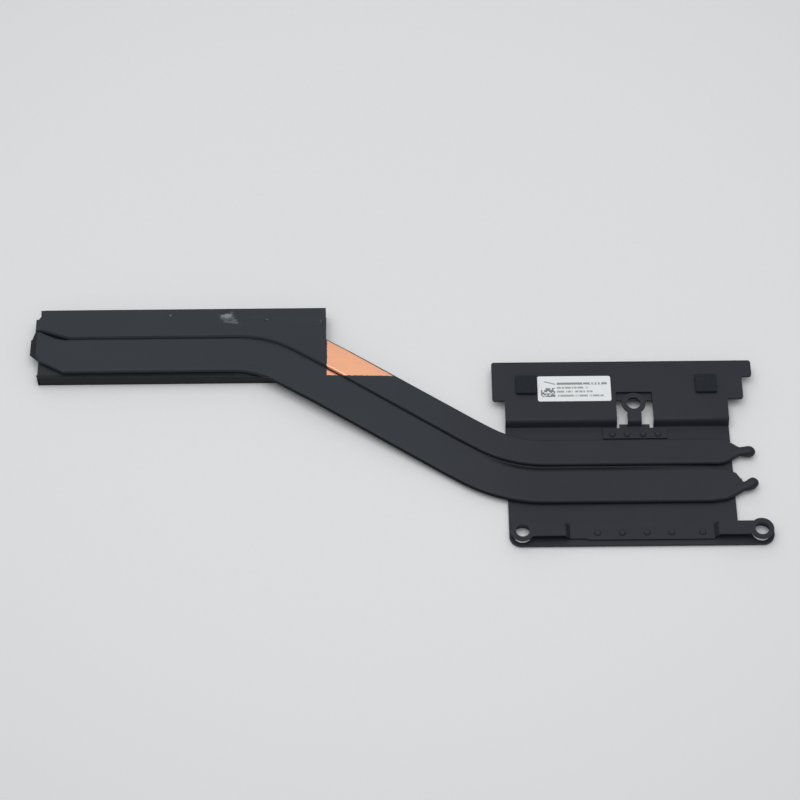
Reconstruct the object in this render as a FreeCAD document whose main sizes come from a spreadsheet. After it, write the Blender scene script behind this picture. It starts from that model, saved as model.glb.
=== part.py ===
"""Laptop thermal module: two flattened heat pipes, a fin stack, a base plate and its spring arms.

Frame: the origin is the middle of the cold plate's contact face, +X runs along the module to the
pinched pipe tails, +Y to the rear flap and +Z up. Fin stack and cold plate both stand on z = 0.
"""
import FreeCAD, Part
import math
import os

import Sketcher
from FreeCAD import Vector

SIZES = {
    # Heat pipes: tube diameter before flattening, then the flattened run
    "pipe_thickness": 1.6,
    "front_tube_diameter": 8.0,
    "rear_tube_diameter": 6.0,
    "pipe_drop": 2.2,
    "pitch_radius": 100.0,
    "front_left_y": 39.95,
    "front_right_y": -4.65,
    "bend_1_setback": 19.1,
    "bend_2_lead": 0.5,
    "left_pipe_gap": 0.22,
    "diagonal_pipe_gap": 0.4,
    "right_pipe_gap": 0.82,
    "front_bend_1_radius": 28.0,
    "front_bend_2_radius": 39.0,
    "front_drop_start": 23.0,
    "front_drop_end": 17.0,
    "rear_bend_1_radius": 35.0,
    "rear_bend_2_radius": 33.0,
    "rear_drop_start": 25.0,
    "rear_drop_end": 15.0,
    # Closed left noses of the pipes
    "nose_length": 7.0,
    "nose_tip_length": 3.0,
    "nose_tip_thickness": 0.5,
    "front_nose_overhang": 2.5,
    "front_nose_width": 8.9,
    "front_nose_shift": 2.45,
    "front_nose_tip_width": 5.4,
    "front_nose_tip_shift": 3.5,
    "rear_nose_overhang": 1.4,
    "rear_nose_width": 5.4,
    "rear_nose_shift": 0.85,
    "rear_nose_tip_width": 4.4,
    "rear_nose_tip_shift": 1.0,
    # Pinched right tails of the pipes
    "front_tail_start_x": 20.5,
    "front_shoulder_x": 24.9,
    "front_shoulder_width": 10.5,
    "front_taper_x": 28.0,
    "front_taper_width": 7.2,
    "rear_tail_start_x": 23.2,
    "rear_shoulder_x": 25.0,
    "rear_shoulder_width": 8.0,
    "rear_taper_x": 27.6,
    "rear_taper_width": 5.4,
    "neck_width": 2.1,
    "neck_thickness": 1.7,
    "front_neck_x": 30.3,
    "front_neck_shift": -1.05,
    "front_tip_x": 32.9,
    "front_tip_shift": 0.25,
    "rear_neck_x": 30.1,
    "rear_neck_shift": -0.1,
    "rear_tip_x": 32.75,
    "rear_tip_shift": -0.15,
    "front_tip_radius": 1.4,
    "rear_tip_radius": 1.45,
    # Fin stack
    "fin_left_x": -174.5,
    "fin_pitch": 1.1,
    "fin_count": 77,
    "fin_sheet": 0.2,
    "fin_joint_gap": 0.02,
    "fin_front_margin": 1.35,
    "ledge_width": 1.4,
    "ledge_clearance": 0.15,
    # Film over the ledge and the rear pipe
    "film_thickness": 0.12,
    "film_front_inset": 0.45,
    "film_left_overhang": 1.2,
    "film_corner_cut_x": 2.4,
    "film_corner_cut_y": 4.6,
    # Base plate
    "plate_lift": 0.4,
    "plate_sheet": 0.8,
    "plate_left_x": -37.5,
    "plate_right_x": 27.4,
    "plate_front_y": -23.8,
    "flap_rear_y": 36.7,
    "flap_rise": 2.6,
    "step_foot_y": 15.4,
    "step_run": 0.9,
    "bend_radius": 0.5,
    "left_ear_x": -41.1,
    "left_ear_front_y": 23.4,
    "right_ear_x": 35.1,
    "right_ear_front_y": 31.2,
    "right_shelf_x": 32.1,
    "right_shelf_front_y": 23.5,
    "ear_corner_radius": 0.8,
    "lug_end_x": 37.5,
    "lug_rear_y": -16.8,
    "lug_corner_radius": 3.3,
    "lug_root_radius": 0.6,
    "lug_hole_radius": 2.65,
    "slot_centre_x": 0.2,
    "slot_width": 10.6,
    "slot_front_y": 14.95,
    "slot_rear_y": 26.0,
    "slot_corner_radius": 0.5,
    # Cold plate
    "cold_flange_length": 28.0,
    "cold_flange_width": 21.0,
    "cold_window_length": 24.0,
    "cold_window_width": 18.0,
    "cold_clearance": 0.1,
    "cold_corner_radius": 1.5,
    # Spring arms
    "spring_sheet": 0.5,
    "eye_spacing": 67.6,
    "eye_y": -20.15,
    "eye_hole_radius": 1.95,
    "front_ring_radius": 3.35,
    "arm_rise": 1.9,
    "arm_half_run": 20.4,
    "arm_joggle": 1.2,
    "arm_front_y": -21.9,
    "arm_rear_y": -17.6,
    "bar_front_y": -22.3,
    "bar_rear_y": -16.5,
    "bar_notch_x": -14.9,
    "bar_notch_slant": 0.9,
    "spring_bend_radius": 0.3,
    "tongue_eye_y": 22.2,
    "tongue_ring_radius": 3.5,
    "tongue_rise": 2.0,
    "tongue_neck_width": 4.1,
    "tongue_foot_y": 15.2,
    "tongue_joggle": 0.8,
    "tongue_bar_length": 18.6,
    "tongue_bar_front_y": 11.3,
    "tongue_bar_rear_y": 14.85,
    "tongue_root_width": 8.8,
    "tongue_root_rear_y": 16.1,
    # Rivets
    "rivet_shank_radius": 0.7,
    "rivet_hole_clearance": 0.03,
    "rivet_head_radius": 1.0,
    "rivet_head_height": 0.36,
    "rivet_head_slope": 0.26,
    "rivet_tail_radius": 0.95,
    "rivet_tail_height": 0.2,
    "front_rivet_y": -20.1,
    "front_rivet_first_x": -12.6,
    "front_rivet_pitch": 7.0,
    "front_rivet_row": 4,
    "front_rivet_last_x": 17.1,
    "tongue_rivet_y": 12.75,
    "tongue_rivet_inner": 2.3,
    "tongue_rivet_outer": 6.6,
    # Foam pads and label
    "pad_size": 6.2,
    "pad_thickness": 1.0,
    "pad_front_y": 25.4,
    "left_pad_x": -34.15,
    "right_pad_x": 18.3,
    "label_x": -27.8,
    "label_front_y": 22.9,
    "label_length": 21.4,
    "label_width": 8.7,
    "label_thickness": 0.1,
    "label_corner_radius": 0.6,
}

# Heights and places that follow from the driving sizes, as sheet formulas
FORMULAS = {
    "front_pipe_width": "pipe_thickness + pi / 2 * (front_tube_diameter - pipe_thickness)",
    "rear_pipe_width": "pipe_thickness + pi / 2 * (rear_tube_diameter - pipe_thickness)",
    "plate_top": "plate_lift + plate_sheet",
    "flap_top": "plate_top + flap_rise",
    "bar_top": "plate_top + spring_sheet",
    "arm_top": "bar_top + arm_rise",
    "tongue_top": "bar_top + tongue_rise",
    "pipe_left_seat": "plate_top + pipe_drop",
    "pipe_left_top": "pipe_left_seat + pipe_thickness",
    "rear_left_y": "front_left_y + front_pipe_width / 2 + left_pipe_gap + rear_pipe_width / 2",
    "rear_right_y": "front_right_y + front_pipe_width / 2 + right_pipe_gap + rear_pipe_width / 2",
    "fin_front_y": "front_left_y - front_pipe_width / 2 - fin_front_margin",
    "ledge_front_y": "rear_left_y + rear_pipe_width / 2 + ledge_clearance",
    "fin_rear_y": "ledge_front_y + ledge_width",
    "fin_right_x": "fin_left_x + fin_count * fin_pitch",
    "rivet_hole_radius": "rivet_shank_radius + rivet_hole_clearance",
    "rivet_tail_low": "plate_lift - rivet_tail_height",
    "eye_x": "eye_spacing / 2",
    "step_bend": "plate_sheet * tan(atan(flap_rise / step_run) / 2)",
    "arm_bend": "spring_sheet * tan(atan(arm_rise / arm_joggle) / 2)",
    "tongue_bend": "spring_sheet * tan(atan(tongue_rise / tongue_joggle) / 2)",
    "front_bend_1_x": "fin_right_x - bend_1_setback",
    "front_bend_2_x": "plate_left_x - bend_2_lead",
    "bend_slope": "(front_left_y - front_right_y) / (front_bend_2_x - front_bend_1_x)",
    "bend_angle": "atan(bend_slope)",
    "diagonal_spacing": "front_pipe_width / 2 + diagonal_pipe_gap + rear_pipe_width / 2",
    "rear_lead_1": "(diagonal_spacing - (rear_left_y - front_left_y) * cos(bend_angle)) / sin(bend_angle)",
    "rear_lead_2": "(diagonal_spacing - (rear_right_y - front_right_y) * cos(bend_angle)) / sin(bend_angle)",
    "rear_bend_1_x": "front_bend_1_x + rear_lead_1",
    "rear_bend_2_x": "front_bend_2_x + rear_lead_2",
    "film_offset": "rear_pipe_width / 2 - film_front_inset",
    "film_front_y": "rear_left_y - film_offset",
    "film_corner_x": "rear_bend_1_x - film_offset * tan(bend_angle / 2)",
    "film_left_x": "fin_left_x - film_left_overhang",
    "front_nose_tip_x": "fin_left_x - front_nose_overhang",
    "rear_nose_tip_x": "fin_left_x - rear_nose_overhang",
    "rear_nose_shoulder_x": "rear_nose_tip_x + nose_tip_length",
    "rear_nose_start_x": "rear_nose_shoulder_x + nose_length",
    "film_nose_y": "rear_left_y + rear_nose_shift - rear_nose_width / 2 + film_front_inset",
}

# Tolerances for finding edges: millimetres between places, and the cosine for parallel lines
SAME_PLACE = 0.01
PARALLEL = 0.999

doc = FreeCAD.newDocument("thermal_module")
sheet = doc.addObject("Spreadsheet::Sheet", "Sizes")


def fill_sheet():
    """Put every size, and every formula, in a cell of its own with an alias."""
    rows = list(SIZES.items()) + [(alias, "=" + formula) for alias, formula in FORMULAS.items()]
    for row, (alias, content) in enumerate(rows, start=1):
        sheet.set("A%d" % row, alias)
        sheet.set("B%d" % row, str(content))
        sheet.setAlias("B%d" % row, alias)
    doc.recompute()


def size(alias):
    """Read one cell of the sheet as a number."""
    return float(sheet.get(alias))


def bound(formula):
    """Turn a formula of sheet aliases into one that other objects can use."""
    words = []
    word = ""
    for letter in formula + " ":
        if letter.isalnum() or letter == "_":
            word += letter
            continue
        words.append("Sizes." + word if word in SIZES or word in FORMULAS else word)
        words.append(letter)
        word = ""
    return "".join(words).strip()


# Sketch and feature helpers


def new_body(label):
    body = doc.addObject("PartDesign::Body", label)
    body.Label = label
    body.AllowCompound = True
    return body


def new_sketch(body, name, role, lift):
    """Attach a sketch to an origin plane of its body, lifted along the plane's normal."""
    plane = next(item for item in body.Origin.OriginFeatures if item.Role == role)
    sketch = body.newObject("Sketcher::SketchObject", name)
    sketch.AttachmentSupport = (plane, [""])
    sketch.MapMode = "FlatFace"
    sketch.setExpression("AttachmentOffset.Base.z", bound(lift))
    return sketch


def dimension(sketch, kind, geometry, point, formula):
    """Hold a point's distance from the sketch origin at a sheet formula."""
    index = sketch.addConstraint(Sketcher.Constraint(kind, -1, 1, geometry, point, 1.0))
    sketch.setExpression("Constraints[%d]" % index, bound(formula))


def draw_polygon(sketch, corners):
    """Draw a closed polygon; each corner is a pair of formulas for its two distances."""
    first = sketch.GeometryCount
    count = len(corners)
    turn = 2 * math.pi / count
    ring = [Vector(math.cos(step * turn), math.sin(step * turn), 0) for step in range(count)]
    for step in range(count):
        sketch.addGeometry(Part.LineSegment(ring[step], ring[(step + 1) % count]), False)
    for step in range(count):
        follower = first + (step + 1) % count
        sketch.addConstraint(Sketcher.Constraint("Coincident", first + step, 2, follower, 1))
    for step, (across, along) in enumerate(corners):
        dimension(sketch, "DistanceX", first + step, 1, across)
        dimension(sketch, "DistanceY", first + step, 1, along)


def draw_rectangle(sketch, left, right, low, high):
    draw_polygon(sketch, [(left, low), (right, low), (right, high), (left, high)])


def draw_circles(sketch, centres, radius):
    """Draw equal circles whose centres are pairs of formulas."""
    for across, along in centres:
        geometry = sketch.addGeometry(Part.Circle(Vector(1, 1, 0), Vector(0, 0, 1), 1), False)
        dimension(sketch, "DistanceX", geometry, 3, across)
        dimension(sketch, "DistanceY", geometry, 3, along)
        index = sketch.addConstraint(Sketcher.Constraint("Radius", geometry, 1.0))
        sketch.setExpression("Constraints[%d]" % index, bound(radius))


def pad(body, sketch, length):
    feature = body.newObject("PartDesign::Pad", sketch.Name + "_pad")
    feature.Profile = sketch
    feature.setExpression("Length", bound(length))
    doc.recompute()
    return feature


def cut_through(body, sketch):
    """Cut the sketch through the whole body, upwards from the resting plane."""
    before = body.Shape.Volume
    feature = body.newObject("PartDesign::Pocket", sketch.Name + "_cut")
    feature.Profile = sketch
    feature.Type = "ThroughAll"
    feature.Reversed = True
    doc.recompute()
    if not body.Shape.Volume < before:
        raise RuntimeError("%s cuts nothing" % sketch.Name)
    return feature


def trim_to(body, name, corners):
    """Cut away everything outside a plan outline."""
    margin = max(body.Shape.BoundBox.XLength, body.Shape.BoundBox.YLength)
    sketch = new_sketch(body, name, "XY_Plane", "0")
    draw_polygon(sketch, corners)
    reach = body.Shape.BoundBox
    frame = [
        (reach.XMin - margin, reach.YMin - margin),
        (reach.XMax + margin, reach.YMin - margin),
        (reach.XMax + margin, reach.YMax + margin),
        (reach.XMin - margin, reach.YMax + margin),
    ]
    draw_polygon(sketch, [("%.3f" % across, "%.3f" % along) for across, along in frame])
    return cut_through(body, sketch)


def edges_at(shape, axis, spots):
    """Name the straight edges along an axis that pass through the given pairs of coordinates."""
    others = [index for index in range(3) if index != axis]
    names = []
    for number, edge in enumerate(shape.Edges, start=1):
        ends = [vertex.Point for vertex in edge.Vertexes]
        if len(ends) != 2:
            continue
        along = (ends[1] - ends[0]).normalize()
        if abs(along[axis]) < PARALLEL:
            continue
        for spot in spots:
            if all(abs(ends[0][index] - place) < SAME_PLACE for index, place in zip(others, spot)):
                names.append("Edge%d" % number)
    return names


def round_edges(body, name, axis, spots, radius):
    """Fillet the edges along an axis at the given places."""
    base = body.Tip
    names = edges_at(base.Shape, axis, spots)
    if not names:
        raise RuntimeError("%s finds no edge" % name)
    feature = body.newObject("PartDesign::Fillet", name)
    feature.Base = (base, names)
    feature.setExpression("Radius", bound(radius))
    doc.recompute()
    return feature


# Heat pipes


def stadium(centre, width, thickness):
    """Return a flattened-tube section across X: two flats joined by half-round sides."""
    radius = thickness / 2
    half = width / 2 - radius
    low = centre - Vector(0, 0, radius)
    high = centre + Vector(0, 0, radius)
    side = Vector(0, half, 0)
    bulge = Vector(0, half + radius, 0)
    return Part.Wire([
        Part.LineSegment(low - side, low + side).toShape(),
        Part.Arc(low + side, centre + bulge, high + side).toShape(),
        Part.LineSegment(high + side, high - side).toShape(),
        Part.Arc(high - side, centre - bulge, low - side).toShape(),
    ])


def bent_run(section, points, radii):
    """Carry a section along straight runs, turned about each inner point's own bend axis."""
    pieces = []
    face = Part.Face(section)
    start = points[0]
    for before, corner, after, radius in zip(points, points[1:], points[2:], radii):
        back = (before - corner).normalize()
        ahead = (after - corner).normalize()
        half_turn = (math.pi - back.getAngle(ahead)) / 2
        reach = radius * math.tan(half_turn)
        centre = corner + (back + ahead).normalize() * (radius / math.cos(half_turn))
        axis = ahead.cross(back).normalize()
        straight = corner + back * reach - start
        pieces.append(face.extrude(straight))
        face.translate(straight)
        pieces.append(face.revolve(centre, axis, math.degrees(2 * half_turn)))
        face.rotate(centre, axis, math.degrees(2 * half_turn))
        start = corner + ahead * reach
    pieces.append(face.extrude(points[-1] - start))
    return pieces


def pipe_shape(side):
    """Build one pipe: a flattened run with two plan bends and a drop, a nose and a pinched tail."""
    thickness = size("pipe_thickness")
    width = size(side + "_pipe_width")
    high = size("pipe_left_seat") + thickness / 2
    low = size("plate_top") + thickness / 2
    left_y = size(side + "_left_y")
    right_y = size(side + "_right_y")

    tip_thickness = size("nose_tip_thickness")
    tip_height = size("pipe_left_seat") + tip_thickness
    nose_tip = Vector(size(side + "_nose_tip_x"), left_y + size(side + "_nose_tip_shift"), tip_height)
    shoulder_x = nose_tip.x + size("nose_tip_length")
    shoulder = Vector(shoulder_x, left_y + size(side + "_nose_shift"), high)
    run_start = Vector(shoulder_x + size("nose_length"), left_y, high)
    nose = Part.makeLoft([
        stadium(run_start, width, thickness),
        stadium(shoulder, size(side + "_nose_width"), thickness),
        stadium(nose_tip, size(side + "_nose_tip_width"), tip_thickness),
    ], True, True)

    run_end = Vector(size(side + "_tail_start_x"), right_y, low)
    first_bend = Vector(size(side + "_bend_1_x"), left_y, high)
    second_bend = Vector(size(side + "_bend_2_x"), right_y, low)
    diagonal = Vector(second_bend.x - first_bend.x, second_bend.y - first_bend.y, 0).normalize()
    drop_start = first_bend + diagonal * size(side + "_drop_start")
    drop_end = second_bend - diagonal * size(side + "_drop_end")
    bend_radius = size(side + "_bend_1_radius")
    return_radius = size(side + "_bend_2_radius")
    pitch_radius = size("pitch_radius")
    run = bent_run(
        stadium(run_start, width, thickness),
        [run_start, first_bend, drop_start, drop_end, second_bend, run_end],
        [bend_radius, pitch_radius, pitch_radius, return_radius],
    )

    neck_thickness = size("neck_thickness")
    neck_height = size("plate_top") + neck_thickness / 2
    neck = Vector(size(side + "_neck_x"), right_y + size(side + "_neck_shift"), neck_height)
    tip = Vector(size(side + "_tip_x"), right_y + size(side + "_tip_shift"), neck_height)
    tail = Part.makeLoft([
        stadium(run_end, width, thickness),
        stadium(
            Vector(size(side + "_shoulder_x"), right_y, low), size(side + "_shoulder_width"), thickness
        ),
        stadium(Vector(size(side + "_taper_x"), right_y, low), size(side + "_taper_width"), thickness),
        stadium(neck, size("neck_width"), neck_thickness),
        stadium(tip, size("neck_width"), neck_thickness),
    ], True, True)
    bead = Part.makeSphere(size(side + "_tip_radius"), tip)
    return nose.fuse(run + [tail, bead]).removeSplitter()


def make_pipe(side):
    pipe = doc.addObject("Part::Feature", side + "_heat_pipe")
    pipe.Label = side + "_heat_pipe"
    pipe.Shape = pipe_shape(side)
    return pipe


# Fin stack and film


def make_fin_stack():
    """Fold one channel-shaped fin with a raised rear ledge, then repeat it along the stack."""
    body = new_body("fin_stack")
    for name, height, lift, depth in (
        ("fin_web", "pipe_left_seat", "-fin_front_y", "fin_rear_y - fin_front_y"),
        ("fin_ledge", "pipe_left_top", "-ledge_front_y", "fin_rear_y - ledge_front_y"),
    ):
        sketch = new_sketch(body, name, "XZ_Plane", lift)
        web_right = "fin_left_x + fin_sheet"
        flange_right = "fin_left_x + fin_pitch - fin_joint_gap"
        flange_low = height + " - fin_sheet"
        draw_polygon(sketch, [
            ("fin_left_x", "0"),
            (flange_right, "0"),
            (flange_right, "fin_sheet"),
            (web_right, "fin_sheet"),
            (web_right, flange_low),
            (flange_right, flange_low),
            (flange_right, height),
            ("fin_left_x", height),
        ])
        feature = pad(body, sketch, depth)
        feature.Reversed = True
    originals = [item for item in body.Group if item.TypeId == "PartDesign::Pad"]
    row = body.newObject("PartDesign::LinearPattern", "fin_row")
    row.Originals = originals
    row.Direction = (originals[0].Profile[0], ["H_Axis"])
    row.setExpression("Length", bound("(fin_count - 1) * fin_pitch"))
    row.setExpression("Occurrences", bound("fin_count"))
    body.Tip = row
    doc.recompute()
    return body


def make_film():
    """Cut the film that lies on the fin ledge and on the rear pipe's flat as far as the first bend."""
    body = new_body("fin_cover_film")
    sketch = new_sketch(body, "film_outline", "XY_Plane", "pipe_left_top")
    draw_polygon(sketch, [
        ("film_left_x", "film_nose_y"),
        ("rear_nose_shoulder_x", "film_nose_y"),
        ("rear_nose_start_x", "film_front_y"),
        ("film_corner_x", "film_front_y"),
        ("fin_right_x", "film_front_y - (fin_right_x - film_corner_x) * bend_slope"),
        ("fin_right_x", "fin_rear_y"),
        ("film_left_x + film_corner_cut_x", "fin_rear_y"),
        ("film_left_x", "fin_rear_y - film_corner_cut_y"),
    ])
    pad(body, sketch, "film_thickness")
    corner = (size("film_corner_x"), size("film_front_y"))
    round_edges(body, "film_bend", 2, [corner], "rear_bend_1_radius - film_offset")
    return body


# Base plate and cold plate


def front_rivets():
    """Return the front rivets' places: an even row and one further along."""
    steps = range(int(size("front_rivet_row")))
    row = ["front_rivet_first_x + %d * front_rivet_pitch" % step for step in steps]
    return [(across, "front_rivet_y") for across in row + ["front_rivet_last_x"]]


def tongue_rivets():
    places = ("-tongue_rivet_outer", "-tongue_rivet_inner", "tongue_rivet_inner", "tongue_rivet_outer")
    return [(across, "tongue_rivet_y") for across in places]


def make_base_plate():
    """Fold the stepped sheet, trim it to its plan outline and cut its slot, window and holes."""
    body = new_body("base_plate")
    sketch = new_sketch(body, "plate_fold", "YZ_Plane", "left_ear_x")
    crest = "step_foot_y + step_run"
    draw_polygon(sketch, [
        ("plate_front_y", "plate_lift"),
        ("step_foot_y + step_bend", "plate_lift"),
        (crest + " + step_bend", "flap_top - plate_sheet"),
        ("flap_rear_y", "flap_top - plate_sheet"),
        ("flap_rear_y", "flap_top"),
        (crest, "flap_top"),
        ("step_foot_y", "plate_top"),
        ("plate_front_y", "plate_top"),
    ])
    pad(body, sketch, "lug_end_x - left_ear_x")
    foot = size("step_foot_y")
    peak = foot + size("step_run")
    shift = size("step_bend")
    inner = [(foot, size("plate_top")), (peak + shift, size("flap_top") - size("plate_sheet"))]
    outer = [(foot + shift, size("plate_lift")), (peak, size("flap_top"))]
    round_edges(body, "plate_inner_bends", 0, inner, "bend_radius")
    round_edges(body, "plate_outer_bends", 0, outer, "bend_radius + plate_sheet")

    outline = [
        ("plate_left_x", "plate_front_y"),
        ("lug_end_x", "plate_front_y"),
        ("lug_end_x", "lug_rear_y"),
        ("plate_right_x", "lug_rear_y"),
        ("plate_right_x", "right_shelf_front_y"),
        ("right_shelf_x", "right_shelf_front_y"),
        ("right_shelf_x", "right_ear_front_y"),
        ("right_ear_x", "right_ear_front_y"),
        ("right_ear_x", "flap_rear_y"),
        ("left_ear_x", "flap_rear_y"),
        ("left_ear_x", "left_ear_front_y"),
        ("plate_left_x", "left_ear_front_y"),
    ]
    trim_to(body, "plate_outline", outline)
    corners = [(size(across), size(along)) for across, along in outline]
    round_edges(body, "lug_corners", 2, corners[0:3], "lug_corner_radius")
    round_edges(body, "lug_root", 2, corners[3:4], "lug_root_radius")
    ears = [corners[5], corners[7], corners[8], corners[9], corners[10]]
    round_edges(body, "ear_corners", 2, ears, "ear_corner_radius")

    openings = new_sketch(body, "plate_openings", "XY_Plane", "0")
    half_slot = "slot_width / 2"
    draw_rectangle(
        openings,
        "slot_centre_x - " + half_slot,
        "slot_centre_x + " + half_slot,
        "slot_front_y",
        "slot_rear_y",
    )
    draw_rectangle(
        openings,
        "-cold_window_length / 2",
        "cold_window_length / 2",
        "-cold_window_width / 2",
        "cold_window_width / 2",
    )
    draw_circles(openings, [("-eye_x", "eye_y"), ("eye_x", "eye_y")], "lug_hole_radius")
    draw_circles(openings, front_rivets() + tongue_rivets(), "rivet_hole_radius")
    cut_through(body, openings)
    slot_corners = [
        (size("slot_centre_x") + side * size("slot_width") / 2, size("slot_rear_y"))
        for side in (-1, 1)
    ]
    round_edges(body, "slot_corners", 2, slot_corners, "slot_corner_radius")
    window = [
        (across * size("cold_window_length") / 2, along * size("cold_window_width") / 2)
        for across in (-1, 1)
        for along in (-1, 1)
    ]
    round_edges(body, "window_corners", 2, window, "cold_corner_radius")
    return body


def make_cold_plate():
    """Stack a flange that meets the processor and a boss that fills the base plate's window."""
    body = new_body("cold_plate")
    for name, lift, length, width, rise in (
        ("cold_flange", "0", "cold_flange_length", "cold_flange_width", "plate_lift"),
        (
            "cold_boss",
            "0",
            "cold_window_length - 2 * cold_clearance",
            "cold_window_width - 2 * cold_clearance",
            "plate_top",
        ),
    ):
        sketch = new_sketch(body, name, "XY_Plane", lift)
        across = "(%s) / 2" % length
        along = "(%s) / 2" % width
        draw_rectangle(sketch, "-" + across, across, "-" + along, along)
        pad(body, sketch, rise)
    boss_half = size("cold_window_length") / 2 - size("cold_clearance")
    boss_depth = size("cold_window_width") / 2 - size("cold_clearance")
    flange_half = size("cold_flange_length") / 2
    flange_depth = size("cold_flange_width") / 2
    spots = [(x * boss_half, y * boss_depth) for x in (-1, 1) for y in (-1, 1)]
    spots += [(x * flange_half, y * flange_depth) for x in (-1, 1) for y in (-1, 1)]
    round_edges(body, "cold_corners", 2, spots, "cold_corner_radius")
    return body


# Spring arms and rivets


def make_front_spring_bar():
    """Fold a strip with a raised arm at each end, trim it and add an eye to each arm."""
    body = new_body("front_spring_bar")
    sketch = new_sketch(body, "bar_fold", "XZ_Plane", "-bar_rear_y")
    high_x = "arm_half_run + arm_joggle"
    draw_polygon(sketch, [
        ("-eye_x", "arm_top"),
        ("-(%s)" % high_x, "arm_top"),
        ("-arm_half_run", "bar_top"),
        ("arm_half_run", "bar_top"),
        (high_x, "arm_top"),
        ("eye_x", "arm_top"),
        ("eye_x", "arm_top - spring_sheet"),
        (high_x + " + arm_bend", "arm_top - spring_sheet"),
        ("arm_half_run + arm_bend", "plate_top"),
        ("-arm_half_run - arm_bend", "plate_top"),
        ("-(%s) - arm_bend" % high_x, "arm_top - spring_sheet"),
        ("-eye_x", "arm_top - spring_sheet"),
    ])
    pad(body, sketch, "bar_rear_y - bar_front_y")
    low_x = size("arm_half_run")
    top_x = low_x + size("arm_joggle")
    shift = size("arm_bend")
    arm_low = size("arm_top") - size("spring_sheet")
    inner = [(side * low_x, size("bar_top")) for side in (-1, 1)]
    inner += [(side * (top_x + shift), arm_low) for side in (-1, 1)]
    outer = [(side * top_x, size("arm_top")) for side in (-1, 1)]
    outer += [(side * (low_x + shift), size("plate_top")) for side in (-1, 1)]
    round_edges(body, "bar_inner_bends", 1, inner, "spring_bend_radius")
    round_edges(body, "bar_outer_bends", 1, outer, "spring_bend_radius + spring_sheet")
    trim_to(body, "bar_outline", [
        ("-eye_x", "arm_front_y"),
        ("bar_notch_x - bar_notch_slant", "arm_front_y"),
        ("bar_notch_x", "bar_front_y"),
        ("arm_half_run", "bar_front_y"),
        ("arm_half_run", "arm_front_y"),
        ("eye_x", "arm_front_y"),
        ("eye_x", "arm_rear_y"),
        ("arm_half_run", "arm_rear_y"),
        ("arm_half_run", "bar_rear_y"),
        ("-arm_half_run", "bar_rear_y"),
        ("-arm_half_run", "arm_rear_y"),
        ("-eye_x", "arm_rear_y"),
    ])
    eyes = [("-eye_x", "eye_y"), ("eye_x", "eye_y")]
    rings = new_sketch(body, "bar_rings", "XY_Plane", "arm_top - spring_sheet")
    draw_circles(rings, eyes, "front_ring_radius")
    pad(body, rings, "spring_sheet")
    holes = new_sketch(body, "bar_holes", "XY_Plane", "0")
    draw_circles(holes, eyes, "eye_hole_radius")
    draw_circles(holes, front_rivets(), "rivet_hole_radius")
    cut_through(body, holes)
    return body


def make_rear_spring_tongue():
    """Fold a raised tongue out of a riveted cross bar and end it in an eye."""
    body = new_body("rear_spring_tongue")
    sketch = new_sketch(body, "tongue_fold", "YZ_Plane", "-tongue_neck_width / 2")
    crest = "tongue_foot_y + tongue_joggle"
    tongue_low = "tongue_top - spring_sheet"
    draw_polygon(sketch, [
        ("tongue_bar_front_y", "plate_top"),
        ("tongue_foot_y + tongue_bend", "plate_top"),
        (crest + " + tongue_bend", tongue_low),
        ("tongue_eye_y", tongue_low),
        ("tongue_eye_y", "tongue_top"),
        (crest, "tongue_top"),
        ("tongue_foot_y", "bar_top"),
        ("tongue_bar_front_y", "bar_top"),
    ])
    pad(body, sketch, "tongue_neck_width")
    foot = size("tongue_foot_y")
    peak = foot + size("tongue_joggle")
    shift = size("tongue_bend")
    low = size("tongue_top") - size("spring_sheet")
    inner = [(foot, size("bar_top")), (peak + shift, low)]
    outer = [(foot + shift, size("plate_top")), (peak, size("tongue_top"))]
    round_edges(body, "tongue_inner_bends", 0, inner, "spring_bend_radius")
    round_edges(body, "tongue_outer_bends", 0, outer, "spring_bend_radius + spring_sheet")

    bar = new_sketch(body, "tongue_bar", "XY_Plane", "plate_top")
    half_bar = "tongue_bar_length / 2"
    half_root = "tongue_root_width / 2"
    draw_polygon(bar, [
        ("-" + half_bar, "tongue_bar_front_y"),
        (half_bar, "tongue_bar_front_y"),
        (half_bar, "tongue_bar_rear_y"),
        (half_root, "tongue_bar_rear_y"),
        (half_root, "tongue_root_rear_y"),
        ("tongue_neck_width / 2", "tongue_root_rear_y"),
        ("tongue_neck_width / 2", "tongue_foot_y - spring_sheet"),
        ("-tongue_neck_width / 2", "tongue_foot_y - spring_sheet"),
        ("-tongue_neck_width / 2", "tongue_root_rear_y"),
        ("-" + half_root, "tongue_root_rear_y"),
        ("-" + half_root, "tongue_bar_rear_y"),
        ("-" + half_bar, "tongue_bar_rear_y"),
    ])
    pad(body, bar, "spring_sheet")
    ring = new_sketch(body, "tongue_ring", "XY_Plane", tongue_low)
    draw_circles(ring, [("0", "tongue_eye_y")], "tongue_ring_radius")
    pad(body, ring, "spring_sheet")
    holes = new_sketch(body, "tongue_holes", "XY_Plane", "0")
    draw_circles(holes, [("0", "tongue_eye_y")], "eye_hole_radius")
    draw_circles(holes, tongue_rivets(), "rivet_hole_radius")
    cut_through(body, holes)
    return body


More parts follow.
